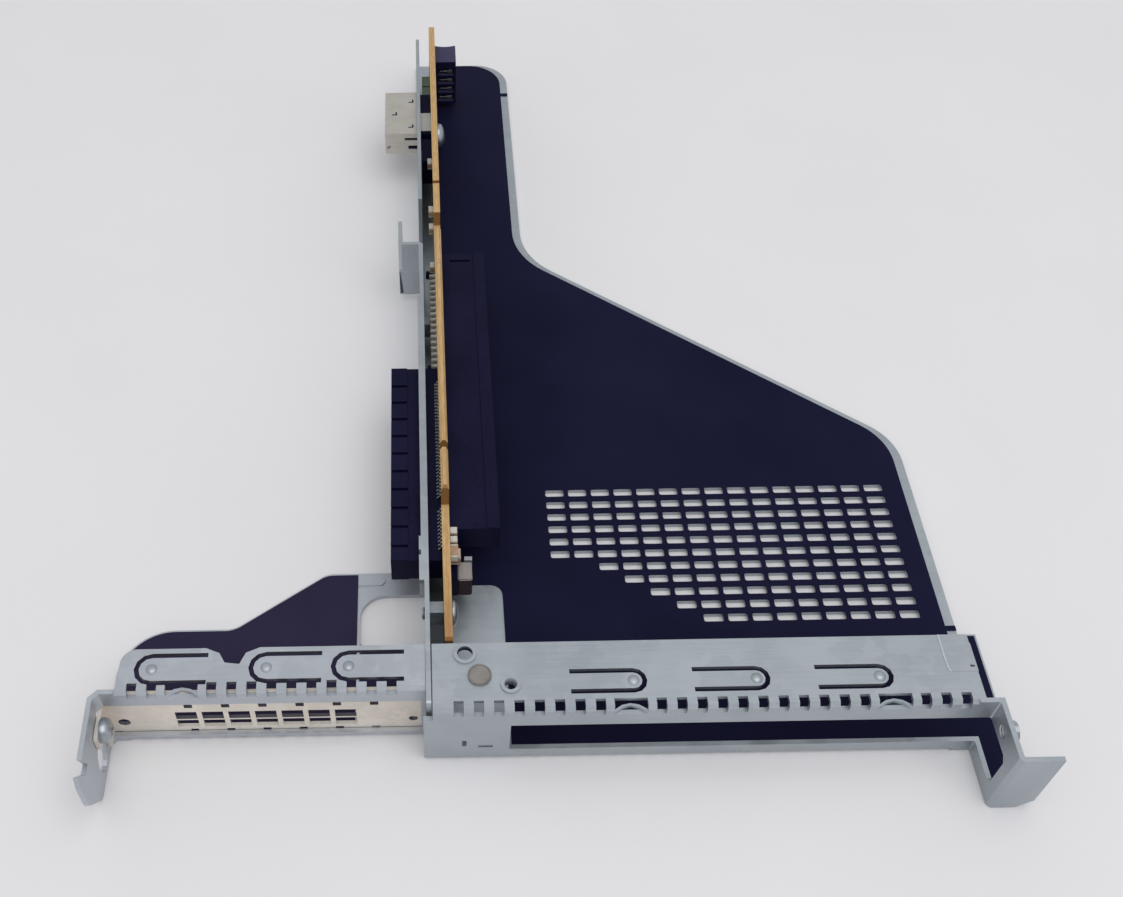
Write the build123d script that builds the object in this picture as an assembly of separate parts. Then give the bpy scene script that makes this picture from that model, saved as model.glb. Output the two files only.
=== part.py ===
from build123d import *
import os

os.makedirs("parts", exist_ok=True)

# A riser card for a rack server, lying on its cover plate.
# X is zero in the middle of the board's thickness and grows towards the full-height slot.
# Y is zero on the outer face of the full-height rear wall and grows into the cage.
# Z is zero on the outer face of the cover plate and grows towards the board's gold edge.
# All sizes are millimetres.

# Sheet metal and film
sheet = 1.0
inside_bend = 0.4
bend_flat = 0.59
round_sides = 12
hidden_sides = 8
film = 0.25
film_margin = 0.5
film_margin_right = 2.2
fit = 0.1
clearance = 0.25

# Circuit board, seen from its side
board_thick = 1.7
board_lift = 2.6
board_near = 16.4
board_far = 230.0
board_top = 20.5
board_far_step = 143.5
board_far_rise = 4.5
tongue_start = 50.7
tongue_length = 85.0
tongue_height = 6.5
tongue_chamfer = 1.0
tongue_bevel = 0.5
board_notch = 156.0
board_notch_size = 1.2
key_offset = 12.15
key_width = 1.9
standoff_height = 3.0
standoff_radius = 2.8
screw_hole = 1.6
screw_shank = 1.45
screw_head = 3.8
screw_rise = 2.5
rivet_shank = 1.2

# Full-height side of the cage
cage_height = 20.5
full_reach = 107.8
flange_depth = 15.4
flange_short = 2.6
ledge_depth = 12.7
ledge_return = 8.6
window_start = 12.0
window_low = 4.0
window_height = 10.2
window_wrap = 9.4

# Low-profile side of the cage
low_setback = 5.5
low_height = 20.0
low_reach = 71.2
low_flange_depth = 10.1
low_window_low = 2.0
low_window_height = 13.0
low_window_start = 5.9
low_window_wrap = 2.1

# Cover plate outline
neck_right = 24.0
neck_far = 244.3
slope_start_y = 152.1
slope_end_y = 83.3
plate_right = 112.5
wing_far = 27.0

# Side plate outline
side_far = 31.6
side_top = 45.9
side_rise_x = -47.5
side_top_x = -27.2
bridge_width = 6.0
opening_left = -19.4

# Perforated folds
perforation = 2.0
perforation_pitch = 4.0
perforation_drop = 2.3
full_perforation_first = 1.5
full_perforation_count = 26
full_springs = (8, 21)
low_perforation_first = -63.7
low_perforation_count = 14
low_springs = (2,)
spring_thick = 0.5
spring_rise = 1.4
spring_bow = (0, 0.75, 1, 0.75, 0)

# Vent grid in the cover plate
vent_columns = 15
vent_rows = 11
vent_full_rows = 6
vent_pitch_x = 5.47
vent_pitch_y = 3.56
vent_first_x = 26.7
vent_first_y = 32.4
vent_length = 4.5
vent_width = 2.1

# Card slots on the board
slot_z = 14.25
slot_body = 7.5
slot_body_height = 11.2
slot_gap = 1.75
slot_depth = 8.0
slot_lead = 2.2
slot_first = 11.65
slot_shoulder = 0.3
full_slot_collar = 2.8
low_slot_collar = 3.8
peg_radius = 1.1
peg_reach = 2.35
full_slot_start = 46.0
full_slot_length = 89.4
low_slot_start = 37.8
low_slot_length = 56.4
contact_pitch = 9.0
contact_width = 0.6
contact_thick = 0.3
tail_length = 1.5
tail_width = 0.5
tail_spread = 4.0

# Shielded socket and header at the board's far end
socket_start = 186.4
socket_length = 19.8
socket_depth = 13.3
socket_low = 11.0
socket_height = 7.0
socket_wall = 0.4
header_start = 221.4
header_length = 8.6
header_depth = 6.45
header_top = 18.0
header_bottom = 3.0
header_pitch = 3.1

board_left = -board_thick / 2
board_right = board_thick / 2
wall_inner = board_left - standoff_height
wall_outer = wall_inner - sheet
wall_near = sheet + inside_bend + clearance
side_end = wall_outer - fit
flange_left = wall_inner + clearance
low_face = low_setback
slot_low = slot_z - slot_body / 2
slot_high = slot_z + slot_body / 2
floor_top = sheet + film


def write(solid, name):
    export_step(solid, os.path.join("parts", name + ".step"))


def block(x, y, z):
    """Box between two limits along each axis."""
    size = [high - low for low, high in (x, y, z)]
    middle = [(low + high) / 2 for low, high in (x, y, z)]
    return Pos(*middle) * Box(*size)


def outline(*corners, flat=False):
    """Flat face through (x, y) corners; a third number rounds a corner, or cuts it off by about as much."""
    face = make_face(Polyline(*[corner[:2] for corner in corners], close=True))
    for corner in corners:
        if len(corner) == 3:
            spot = face.vertices().sort_by_distance((corner[0], corner[1], 0))[0]
            face = chamfer(spot, corner[2] * bend_flat) if flat else fillet(spot, corner[2])
    return face


def disc(radius, sides=round_sides):
    """Small round face drawn with flat sides."""
    return RegularPolygon(radius, sides)


def along_x(face, start, end):
    """Extrude a face drawn in (y, z) between two X values."""
    return extrude(Plane.YZ.offset(start) * face, amount=end - start)


def along_y(face, start, end):
    """Extrude a face drawn in (x, z) between two Y values."""
    return extrude(Plane.XZ.offset(-end) * face, amount=end - start)


def along_z(face, start, end):
    """Extrude a face drawn in (x, y) between two Z values."""
    return extrude(Plane.XY.offset(start) * face, amount=end - start)


def group(solids):
    """Separate solids of one node."""
    return Compound(children=list(solids))


def middle_of(middle, size):
    """Limits of a size centred on a middle."""
    return (middle - size / 2, middle + size / 2)


# Folded sheet with a perforated bend at its top and bottom


def rail_profile(face_y, height, depth):
    """Section of a rail: base, rear wall and top flange folded from one sheet."""
    outer = inside_bend + sheet
    back = face_y + depth
    inner = face_y + sheet
    return outline(
        (face_y, 0, outer),
        (face_y, height, outer),
        (back, height),
        (back, height - sheet),
        (inner, height - sheet),
        (inner, sheet),
        (back, sheet),
        (back, 0),
        flat=True,
    )


def perforation_cuts(first, count, springs, face_y, height):
    """Square cuts along both bends; a spring opening takes the room of two cuts."""
    cuts = []
    reach = (face_y - sheet, face_y + perforation_drop)
    for index in range(count):
        span = middle_of(first + index * perforation_pitch, perforation)
        cuts.append(block(span, reach, (-sheet, sheet)))
        if index in springs or index - 1 in springs:
            continue
        cuts.append(block(span, reach, (height - perforation_drop, height + sheet)))
    for index in springs:
        span = spring_span(first, index)
        cuts.append(block(span, reach, (height - perforation_drop, height + sheet)))
    return cuts


def spring_span(first, index):
    """Limits in X of the opening that holds one arched spring."""
    start = first + index * perforation_pitch - perforation * 0.65
    return (start, start + perforation_pitch + perforation * 1.3)


def arched_spring(first, index, face_y, height):
    """Lanced strip that bows inwards across its opening in the bend."""
    low, high = spring_span(first, index)
    step = (high - low) / (len(spring_bow) - 1)
    front = [(low + place * step, face_y + share * spring_rise) for place, share in enumerate(spring_bow)]
    back = [(x, y + spring_thick) for x, y in reversed(front)]
    bottom = height - perforation_drop
    return along_z(outline(*front, *back), bottom, bottom + sheet)


def finger_cut(tip_x, middle_y, radius, arm, direction, width):
    """U-shaped cut that frees a spring finger; its round end points along direction."""
    outer = radius + width / 2
    centre_x = tip_x - direction * outer
    ring = disc(outer) - disc(radius - width / 2)
    half = Pos(direction * outer, 0) * Rectangle(2 * outer, 2 * outer)
    legs = [Pos(-direction * arm / 2, side * radius) * Rectangle(arm, width) for side in (-1, 1)]
    face = (ring & half) + legs[0] + legs[1]
    return Pos(centre_x, middle_y) * face


def dimple(x, y, top, radius, height):
    """Shallow cone pressed up out of a flange."""
    return extrude(Pos(x, y, top) * disc(radius, 6), height, taper=45)


# Cover plate


def plate_outline(margin, margin_right, left, near):
    """Outline of the cover plate, drawn in by a margin along its free edges."""
    neck_x = neck_right - margin_right
    right = plate_right - margin_right
    wing_left = full_reach + sheet + clearance
    wing_right = full_reach + ledge_return - margin
    wing_near = sheet + clearance - ledge_depth
    return outline(
        (left, near),
        (wing_left, near),
        (wing_left, wing_near),
        (wing_right, wing_near),
        (wing_right, wing_far - margin),
        (right, wing_far - margin),
        (right, slope_end_y, 14.8),
        (neck_x, slope_start_y, 20.0),
        (neck_x, neck_far - margin, 10.0),
        (left, neck_far - margin),
    )


def vent_places():
    """Centres of the vent slots; rows near the rear wall lose their left columns."""
    full_from = vent_rows - vent_full_rows
    for row in range(vent_rows):
        missing = 0 if row >= full_from else full_from - row + 1
        for column in range(missing, vent_columns):
            yield vent_first_x + column * vent_pitch_x, vent_first_y + row * vent_pitch_y


def vent_cuts(low, high):
    """Rectangular vent slots between two Z values."""
    spans = [(middle_of(x, vent_length), middle_of(y, vent_width)) for x, y in vent_places()]
    return [block(span_x, span_y, (low, high)) for span_x, span_y in spans]


def vent_rows_span():
    """Lowest and highest X of each row of slots, and the row's Y."""
    rows = {}
    for x, y in vent_places():
        rows.setdefault(y, []).append(x)
    for y, columns in rows.items():
        yield min(columns) - vent_length / 2, max(columns) + vent_length / 2, y


# Main cage: cover plate, rear wall, flange and bracket ledge in one folded sheet
# The rear wall's lower left corner reaches past the board wall
wall_left = wall_outer - 0.65
notch_low = 17.0
wing_corner = 3.0
full_outer = full_reach + sheet
full_flange_right = full_reach - flange_short
rail_face = rail_profile(0, cage_height, flange_depth)
rail = along_x(rail_face, wall_left, full_outer)
rail -= block((wall_left - 1, flange_left), (-1, flange_depth + 1), (notch_low, cage_height + 1))
rail -= block((wall_left - 1, flange_left), (sheet, flange_depth + 1), (sheet, cage_height))
rail -= block((wall_left - 1, wall_outer), (sheet, flange_depth + 1), (-1, sheet + 1))
rail -= block(
    (full_flange_right, full_outer + 1),
    (sheet, flange_depth + 1),
    (cage_height - sheet, cage_height + 1),
)
ledge_bend = inside_bend + sheet
ledge_face = outline(
    (full_reach - 4 * sheet, 0),
    (full_reach, 0, inside_bend),
    (full_reach, -ledge_depth, ledge_bend),
    (full_reach + ledge_return, -ledge_depth),
    (full_reach + ledge_return, sheet - ledge_depth),
    (full_outer, sheet - ledge_depth, inside_bend),
    (full_outer, sheet),
    (full_reach - 4 * sheet, sheet),
    flat=True,
)
ledge = along_z(ledge_face, 0, cage_height)
ledge_corner = ledge.edges().filter_by(Axis.Y).group_by(Axis.X)[-1].sort_by(Axis.Z)[0]
ledge = chamfer(ledge_corner, wing_corner)
plate = along_z(plate_outline(0, 0, wall_outer, sheet), 0, sheet)
main_cage = plate + rail + ledge

window_high = window_low + window_height
window = block((window_start, full_outer + 1), (-1, sheet + 1), (window_low, window_high))
wrap_face = outline(
    (sheet + 0.5, window_low),
    (-window_wrap, window_low, 2.0),
    (-window_wrap, window_high, 2.0),
    (sheet + 0.5, window_high),
    flat=True,
)
window += along_x(wrap_face, full_reach - 1, full_outer + 1)
first_cut = full_perforation_first
main_cuts = perforation_cuts(first_cut, full_perforation_count, full_springs, 0, cage_height)
main_cage -= [window] + main_cuts + vent_cuts(-1, sheet + 1)

# Spring fingers of the full-height flange
finger_pitch = 24.5
finger_tip = 39.2
finger_radius = 2.25
finger_arm = 12.6
finger_y = 6.25
finger_slit = 1.0
dimple_radius = 0.9
dimple_height = 0.35
for index in range(3):
    tip = finger_tip + index * finger_pitch
    face = finger_cut(tip, finger_y, finger_radius, finger_arm, 1, finger_slit)
    main_cage -= along_z(face, cage_height - sheet - 1, cage_height + 1)
    centre = tip - finger_radius - finger_slit / 2
    main_cage += dimple(centre, finger_y, cage_height, dimple_radius, dimple_height)
for index in full_springs:
    main_cage += arched_spring(first_cut, index, 0, cage_height)

# Locating collar, threaded collar and rivet hole of the flange
locating_spot = (3.1, 12.8)
locating_radius = 1.6
thread_spot = (12.0, 5.7)
thread_radius = 1.3
thread_length = 2.5
rivet_spot = (5.9, 7.9)
rivet_radius = 1.5
collar_wall = 0.75
collar_rise = 0.5
bracket_screw_y = -4.6
bracket_screw_z = 17.0
bracket_screw_radius = 1.4
bracket_screw_length = 2.5


def ring(spot, radius, low, high):
    """Round collar about a vertical axis, with its bore cut through."""
    face = Pos(*spot) * (disc(radius + collar_wall) - Circle(radius))
    return along_z(face, low, high)


flange_low = cage_height - sheet
collar_top = cage_height + collar_rise
bores = (Circle(locating_radius), Circle(thread_radius), disc(rivet_radius, hidden_sides))
for spot, face in zip((locating_spot, thread_spot, rivet_spot), bores):
    main_cage -= along_z(Pos(*spot) * face, flange_low - 1, cage_height + 1)
main_cage += ring(locating_spot, locating_radius, flange_low, collar_top)
main_cage += ring(thread_spot, thread_radius, collar_top - thread_length, collar_top)
bracket_spot = (bracket_screw_y, bracket_screw_z)
boss = along_x(
    Pos(*bracket_spot) * disc(bracket_screw_radius + collar_wall),
    full_reach,
    full_reach + bracket_screw_length,
)
bore = along_x(Pos(*bracket_spot) * Circle(bracket_screw_radius), full_reach - 1, full_outer + 5)
main_cage = main_cage + boss - bore

# Small punched slots beside the window
punched_slots = (((2.3, 3.2), (5.6, 8.0)), ((5.6, 8.6), (5.0, 5.8)))
for span_x, span_z in punched_slots:
    main_cage -= block(span_x, (-1, sheet + 1), span_z)
write(main_cage, "main_cage")

# Board wall: upright sheet beside the board, folded into a foot on the cover plate
wall_far = 232.0
foot_right = 12.2
foot_far = 41.5
foot_near = wall_near
foot_low = sheet
hem_start = 36.0
hem_end = 117.0
hem_depth = 1.5
wall_face = outline(
    (wall_near, foot_low),
    (wall_far, foot_low),
    (wall_far, cage_height, 3.0),
    (wall_near, cage_height, 1.0),
)
board_wall = along_x(wall_face, wall_outer, wall_inner)
foot_face = outline(
    (wall_outer, foot_near),
    (foot_right, foot_near),
    (foot_right, foot_far, 2.5),
    (wall_outer, foot_far),
)
board_wall += along_z(foot_face, foot_low, foot_low + sheet)
slot_opening_gap = 0.8
low_slot_end = low_slot_start + low_slot_length
full_slot_end = full_slot_start + full_slot_length
board_wall -= block(
    (wall_outer - 1, wall_inner + 1),
    (low_slot_start - slot_opening_gap, low_slot_end + slot_opening_gap),
    (slot_low - slot_opening_gap, slot_high + slot_opening_gap),
)
socket_end = socket_start + socket_length
socket_high = socket_low + socket_height
board_wall -= block(
    (wall_outer - 1, wall_inner + 1),
    (socket_start - slot_opening_gap, socket_end + slot_opening_gap),
    (socket_low - slot_opening_gap, socket_high + slot_opening_gap),
)
hem_thick = 0.6
wall_top = (cage_height - hem_depth, cage_height)
board_wall += block((wall_outer - hem_thick, wall_outer), (hem_start, hem_end), wall_top)
stop_reach = 1.05
for span_y in ((31.0, 37.5), (38.8, 42.4)):
    board_wall += block((wall_outer - stop_reach, wall_outer), span_y, wall_top)
tab_width = 1.7
tab_x = 4.0
tab_top = 13.6
board_wall += block((tab_x, tab_x + tab_width), (foot_far - sheet, foot_far), (foot_low, tab_top))

# Hook bent out of the board wall, with a return along its free side and a narrow lower half
hook_y = 136.2
hook_left = -10.3
hook_side = 9.1
hook_low = 2.5
hook_crease = 10.5
hook_window = 17.3
hook_tail = (-9.4, -6.0)
hook_bend = inside_bend + sheet
board_wall -= block(
    (wall_outer - 1, wall_inner + 1),
    (hook_y + sheet, hook_y + sheet + hook_window),
    (hook_low, cage_height + 1),
)
board_wall -= block(
    (wall_outer - 1, wall_inner + 1),
    (hook_y - hook_bend, hook_y + sheet + 1),
    (hook_crease, cage_height + 1),
)
hook_plan = outline(
    (wall_inner, hook_y - hook_bend),
    (wall_inner, hook_y + sheet, hook_bend),
    (hook_left + sheet, hook_y + sheet, inside_bend),
    (hook_left + sheet, hook_y + hook_side),
    (hook_left, hook_y + hook_side),
    (hook_left, hook_y, hook_bend),
    (wall_outer, hook_y, inside_bend),
    (wall_outer, hook_y - hook_bend),
    flat=True,
)
board_wall += along_z(hook_plan, hook_crease, cage_height)
board_wall += block(hook_tail, (hook_y, hook_y + sheet), (hook_low, hook_crease))

# Holes for the board's screws and the bridge's rivet; the foot is spot-welded to the plate
screw_spots = ((28.0, 12.0), (120.0, 6.0), (201.0, 6.0))
bridge_rivet_spot = (42.9, 5.5)
screw_bore = disc(screw_hole, hidden_sides)
bridge_bore = disc(rivet_shank + fit / 2, hidden_sides)
for spot in screw_spots:
    board_wall -= along_x(Pos(*spot) * screw_bore, wall_outer - 1, wall_inner + 1)
board_wall -= along_x(Pos(*bridge_rivet_spot) * bridge_bore, wall_outer - 1, wall_inner + 1)
write(board_wall, "board_wall")

# Low-profile cage: side plate, rear wall, flange and ledge in one folded sheet
low_outer = -low_reach - sheet
low_flange_left = -66.7
low_back = low_face + low_flange_depth
lobe_gap = -44.0
lobe_gap_width = 3.0
lobe_gap_depth = 3.4
lobe_corner = 4.0
lobe_notch_slant = 0.4
low_rail_face = rail_profile(low_face, low_height, low_flange_depth)
low_rail = along_x(low_rail_face, low_outer + ledge_bend + 1.6, side_end)
low_rail -= block(
    (low_outer - 1, low_flange_left),
    (low_face + sheet, low_back + 1),
    (low_height - sheet, low_height + 1),
)
upright = low_rail.edges().filter_by(Axis.Z)
flange_corner = upright.sort_by_distance((low_flange_left, low_back, low_height))[0]
low_rail = fillet(flange_corner, 3.3)
notch_floor = low_back - lobe_gap_depth
notch_sides = middle_of(lobe_gap, lobe_gap_width)
notch_face = outline(
    (notch_sides[0] - lobe_corner, low_back + 1),
    (notch_sides[0] - lobe_corner, low_back),
    (notch_sides[0] - 0.3 * lobe_corner, low_back - 0.3 * lobe_corner),
    (notch_sides[0], notch_floor),
    (notch_sides[1], notch_floor - lobe_notch_slant),
    (notch_sides[1] + 0.3 * lobe_corner, low_back - 0.3 * lobe_corner),
    (notch_sides[1] + lobe_corner, low_back),
    (notch_sides[1] + lobe_corner, low_back + 1),
)
low_rail -= along_z(notch_face, low_height - sheet - 1, low_height + 1)
fold_radius = 3.0
fold_face = outline(
    (low_outer + fold_radius + sheet + 1, low_face),
    (-low_reach, low_face, fold_radius - sheet),
    (-low_reach, low_face - 2 * sheet),
    (low_outer, low_face - 2 * sheet),
    (low_outer, low_face + sheet, fold_radius),
    (low_outer + fold_radius + sheet + 1, low_face + sheet),
    flat=True,
)
low_fold = along_z(fold_face, 0, low_height)
hook_reach = -13.3
low_ledge_face = outline(
    (low_face - sheet, 0),
    (hook_reach + 5.6, 0, 3.0),
    (hook_reach, 9.5, 3.0),
    (hook_reach, 17.0),
    (hook_reach + 0.9, low_height + 0.3),
    (hook_reach + 3.8, 15.4),
    (hook_reach + 6.1, 15.2),
    (hook_reach + 4.7, low_height),
    (low_face - sheet, low_height),
)
low_ledge = along_x(low_ledge_face, low_outer, -low_reach)
side_plate_face = outline(
    (low_outer, low_face + sheet),
    (low_outer, side_far, 12.0),
    (side_rise_x, side_far, 6.0),
    (side_top_x, side_top, 5.0),
    (side_end, side_top),
    (side_end, side_top - bridge_width),
    (opening_left, side_top - bridge_width, 6.0),
    (opening_left, low_back),
    (side_end, low_back),
    (side_end, low_face + sheet),
)
side_plate = along_z(side_plate_face, 0, sheet)
bridge_tab_top = 9.4
bridge_tab = block(
    (side_end - sheet, side_end),
    (side_top - bridge_width, side_top),
    (0, bridge_tab_top),
)
low_cage = low_rail + low_fold + low_ledge + side_plate + bridge_tab
low_window_high = low_window_low + low_window_height
low_cuts = perforation_cuts(
    low_perforation_first, low_perforation_count, low_springs, low_face, low_height
)
low_cuts.append(
    block(
        (low_outer - 1, -low_window_start),
        (low_face - low_window_wrap, low_face + sheet + 0.5),
        (low_window_low, low_window_high),
    )
)
low_cage -= low_cuts
low_finger_radius = 3.1
low_finger_y = low_face + 5.4
low_finger_arm = 11.2
for tip in (-63.7, -40.6, -24.0):
    face = finger_cut(tip, low_finger_y, low_finger_radius, low_finger_arm, -1, finger_slit)
    low_cage -= along_z(face, low_height - sheet - 1, low_height + 1)
    centre = tip + low_finger_radius + finger_slit / 2
    low_cage += dimple(centre, low_finger_y, low_height, dimple_radius, dimple_height)
for index in low_springs:
    low_cage += arched_spring(low_perforation_first, index, low_face, low_height)
ledge_hole = (-0.7, 5.4)
ledge_opening = scale(disc(1, 16), by=(3.0, 4.4, 1))
low_cage -= along_x(Pos(*ledge_hole) * ledge_opening, low_outer - 1, -low_reach + 1)
blank_screw_spot = (1.2, 13.0)
low_cage -= along_x(Pos(*blank_screw_spot) * screw_bore, low_outer - 1, -low_reach + 1)
low_cage -= along_x(Pos(*bridge_rivet_spot) * bridge_bore, side_end - 2 * sheet, side_end + 1)
emboss_face = outline(
    (opening_left - film_margin, side_top - 3.4),
    (-13.9, side_top - 3.4, 1.4),
    (-13.9, side_top - 0.4, 1.4),
    (opening_left - film_margin, side_top - 0.4),
    flat=True,
)
low_cage += along_z(emboss_face, sheet, sheet + 0.3)
write(low_cage, "low_profile_cage")

# Slot blank: vented plate behind the low-profile window, its tab screwed to the ledge
blank_thick = 0.8
blank_front = low_face + sheet + fit
blank_back = blank_front + blank_thick
blank_left = fit - low_reach
blank_right = 0.7 - low_window_start
blank_low = low_window_low - 0.5
blank_high = low_height - perforation_drop - fit
neck_low = low_window_low + fit
neck_high = low_window_high - fit
neck_end = 2.5 - low_reach
blank_face = outline(
    (blank_left, neck_low),
    (neck_end, neck_low),
    (neck_end, blank_low),
    (blank_right, blank_low),
    (blank_right, blank_high),
    (neck_end, blank_high),
    (neck_end, neck_high),
    (blank_left, neck_high),
)
blank = along_y(blank_face, blank_front, blank_back)
tab_edge = 3.0
tab_margin = 3.0
tab_end = blank_screw_spot[0] - tab_margin
tab_low = blank_screw_spot[1] - tab_margin
tab_face = outline(
    (blank_back, neck_low),
    (tab_edge, neck_low),
    (tab_edge, tab_low),
    (tab_end, tab_low, 1.0),
    (tab_end, neck_high, 1.0),
    (blank_back, neck_high),
    flat=True,
)
blank_inner = blank_left + blank_thick
blank += along_x(tab_face, blank_left, blank_inner)

# Two rows of slots, small slots above and notches below them, and a hole at each end
blank_vent_length = 4.4
blank_vent_height = 2.9
blank_vent_first = -54.4
blank_vent_pitch = 5.48
blank_vent_rows = (5.0, 8.4)
blank_notch = 1.7
blank_notch_depth = 1.1
blank_notch_first = -53.5
blank_notch_pitch = 7.6
blank_slot_low = 11.6
blank_holes = ((-67.6, 6.0, 1.35), (-7.6, 5.6, 1.0))
blank_depth = (blank_front - 1, blank_back + 1)
blank -= along_x(Pos(*blank_screw_spot) * screw_bore, blank_left - 1, blank_inner + 1)
for x, z, radius in blank_holes:
    blank -= along_y(Pos(x, z) * disc(radius, hidden_sides), *blank_depth)
for column in range(7):
    span_x = middle_of(blank_vent_first + column * blank_vent_pitch, blank_vent_length)
    for z in blank_vent_rows:
        blank -= block(span_x, blank_depth, middle_of(z, blank_vent_height))
for column in range(6):
    span_x = middle_of(blank_notch_first + column * blank_notch_pitch, blank_notch)
    blank -= block(span_x, blank_depth, (blank_low, blank_low + blank_notch_depth))
    blank -= block(span_x, blank_depth, (blank_slot_low, neck_high))
write(blank, "slot_blank")

# Screws, standoffs and rivets


def domed_head(radius, rise):
    """Domed head in two steps, standing on the XY plane."""
    skirt = extrude(disc(radius), rise * 0.55, taper=15)
    return skirt + extrude(skirt.faces().sort_by(Axis.Z)[-1], rise * 0.45, taper=50)


def pan_screw(spot, face, tip, head):
    """Pan-headed screw along X; the head stands on a face and the shank runs to a tip."""
    shank = extrude(Pos(0, 0, tip) * disc(screw_shank, hidden_sides), face - tip)
    screw = shank + Pos(0, 0, face) * domed_head(head, screw_rise)
    return Pos(0, *spot) * Rot(0, 90, 0) * screw


screw_tip = wall_outer - 0.7
blank_screw_head = 2.6
screws = [pan_screw(spot, board_right, screw_tip, screw_head) for spot in screw_spots]
write(group(screws), "board_screws")
write(pan_screw(blank_screw_spot, blank_inner, low_outer - 1, blank_screw_head), "blank_screw")
tube = disc(standoff_radius, 6) - screw_bore
write(group(along_x(Pos(*spot) * tube, wall_inner, board_left) for spot in screw_spots), "board_standoffs")


def rivet(face, radius, head, rise, low, high):
    """Rivet between two sheet faces with a flat head above the upper one, set along Z."""
    pin = along_z(disc(radius, hidden_sides), low, high)
    return face * (pin + along_z(disc(head), high, high + rise))


rivet_head = 2.0
rivet_rise = 0.5
flange_rivet = rivet(Pos(*rivet_spot, 0), rivet_radius - fit / 2, 2.4, 0.4, flange_low, cage_height)
write(flange_rivet, "flange_rivet")
bridge_axis = Pos(0, *bridge_rivet_spot) * Rot(0, -90, 0)
bridge_outer = sheet - side_end
write(rivet(bridge_axis, rivet_shank, rivet_head, rivet_rise, -wall_inner, bridge_outer), "bridge_rivet")

# Insulating films on the inner faces of the plates, with short tabs across the margin
foot_gap = 0.6
film_left = board_right + 0.4
film_near = sheet + inside_bend + fit
film_plan = plate_outline(film_margin, film_margin_right, film_left, film_near)
cover_film = along_z(film_plan, sheet, floor_top)
cover_film -= block(
    (film_left - 1, foot_right + foot_gap),
    (-1, foot_far + foot_gap),
    (0, floor_top + 1),
)
film_tab = 1.2
for edge, y in ((neck_right, 228.0), (plate_right, 28.6)):
    span_x = (edge - film_margin_right - film_margin, edge)
    cover_film += block(span_x, middle_of(y, film_tab), (sheet, floor_top))
for row_low, row_high, row_y in vent_rows_span():
    cover_film -= block(
        (row_low - fit, row_high + fit),
        middle_of(row_y, vent_pitch_y + 2 * fit),
        (0, floor_top + 1),
    )
write(cover_film, "main_insulator_film")
side_film_right = opening_left - film_margin - fit
side_film_near = low_face + sheet + inside_bend + fit
side_film_face = outline(
    (low_outer + film_margin, side_film_near),
    (low_outer + film_margin, side_far - film_margin, 11.5),
    (side_rise_x, side_far - film_margin, 6.0),
    (side_top_x, side_top - film_margin, 5.0),
    (side_film_right, side_top - film_margin),
    (side_film_right, side_film_near),
)
write(along_z(side_film_face, sheet, floor_top), "side_insulator_film")

# Riser board: card edge in the middle of its top, taller behind it
tongue_end = tongue_start + tongue_length
tongue_top = board_top + tongue_height
far_top = board_top + board_far_rise
board_face = outline(
    (board_near, board_lift),
    (board_far, board_lift),
    (board_far, far_top, 1.0),
    (board_far_step, far_top),
    (board_far_step, board_top),
    (tongue_end, board_top),
    (tongue_end, tongue_top, tongue_chamfer),
    (tongue_start, tongue_top, tongue_chamfer),
    (tongue_start, board_top),
    (board_near, board_top, 1.0),
    flat=True,
)
board_span = (board_left - 1, board_right + 1)
board = along_x(board_face, board_left, board_right)
key_low = tongue_start + key_offset - key_width / 2
board -= block(board_span, (key_low, key_low + key_width), (board_top, tongue_top + 1))
notch_depth = (far_top - board_notch_size, far_top + 1)
board -= block(board_span, middle_of(board_notch, board_notch_size), notch_depth)
for side in (-1, 1):
    bevel_face = outline(
        (side * board_right, tongue_top - 2 * tongue_bevel),
        (side * (board_right - tongue_bevel), tongue_top),
        (side * (board_right - tongue_bevel), tongue_top + 1),
        (side * (board_right + 1), tongue_top + 1),
        (side * (board_right + 1), tongue_top - 2 * tongue_bevel),
    )
    board -= along_y(bevel_face, tongue_start - 1, tongue_end + 1)
for spot in screw_spots:
    board -= along_x(Pos(*spot) * screw_bore, *board_span)
peg_spots = ((97.0, slot_z), (131.0, slot_z))
for spot in peg_spots:
    board -= along_x(Pos(*spot) * disc(peg_radius + fit, hidden_sides), *board_span)
write(board, "riser_board")

# Card slots


def slot_housing(start, length, collar_depth):
    """Moulded card slot standing on the board's right face, its mouth facing +X."""
    end = start + length
    top = board_right + slot_body_height
    collar = top - collar_depth
    low_in = slot_low + slot_shoulder
    high_in = slot_high - slot_shoulder
    housing = block((board_right, collar), (start, end), (low_in, high_in))
    housing += block((collar, top), (start, end), (slot_low, slot_high))
    mouth = (top - slot_depth, top + 1)
    groove = middle_of(slot_z, slot_gap)
    first = start + slot_lead
    key = first + slot_first
    housing -= block(mouth, (first, key), groove)
    housing -= block(mouth, (key + key_width - fit, end - slot_lead), groove)
    return housing


def contact_places(start, length):
    """Y of the contacts of one row, leaving out the key's rib."""
    key = start + slot_lead + slot_first
    last = start + length - slot_lead - contact_width
    y = start + slot_lead + contact_width
    while y < last:
        if not key - contact_width < y < key + key_width + contact_width:
            yield y
        y += contact_pitch


def slot_contacts(start, length):
    """Two facing rows of contact blades on the walls of a card slot."""
    top = board_right + slot_body_height
    span = (top - slot_depth + fit, top - 1.0)
    blades = []
    for y in contact_places(start, length):
        for side in (-1, 1):
            wall = slot_z + side * slot_gap / 2
            depth = sorted((wall, wall - side * contact_thick))
            blades.append(block(span, middle_of(y, contact_width), depth))
    return blades


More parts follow.
